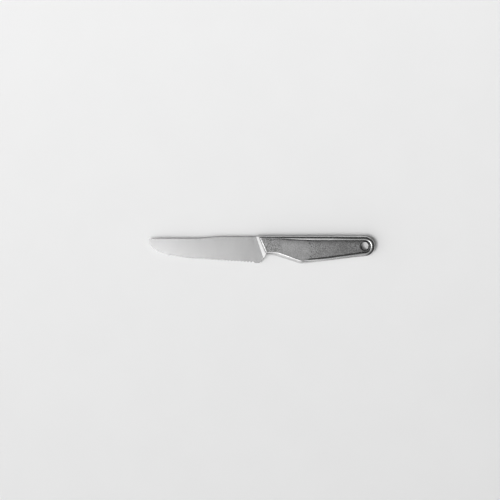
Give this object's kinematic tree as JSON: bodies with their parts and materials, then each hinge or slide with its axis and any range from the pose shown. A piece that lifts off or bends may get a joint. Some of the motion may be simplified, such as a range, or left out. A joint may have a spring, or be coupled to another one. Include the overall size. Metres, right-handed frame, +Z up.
{
  "type": "serrated knife",
  "caption": "Serrated kitchen knife with a rounded tip, polished bolster and a framed steel handle with dark panels, a finger rest and a hanging hole.",
  "frame": {"origin": "centre of the bounding box in plan, on the surface that the knife lies on", "axes": "+X from the tip to the butt, +Y from the cutting edge to the spine, +Z up out of the left face; the knife lies on its right side"},
  "size_m": [0.2436, 0.0298, 0.0106],
  "materials": {
    "blade_steel": "satin, ground across the blade",
    "polished_steel": "polished, with fine wear",
    "raw_steel": "raw, mottled and matt",
    "pin_steel": "plain ground"
  },
  "bodies": {
    "root": {"blade": "blade_steel", "bolster": "polished_steel", "handle_frame": "polished_steel", "left_panel": "raw_steel", "right_panel": "raw_steel", "hanging_bush": "raw_steel", "front_tang_pin": "pin_steel", "middle_tang_pin": "pin_steel", "rear_tang_pin": "pin_steel"}
  },
  "joints": []
}
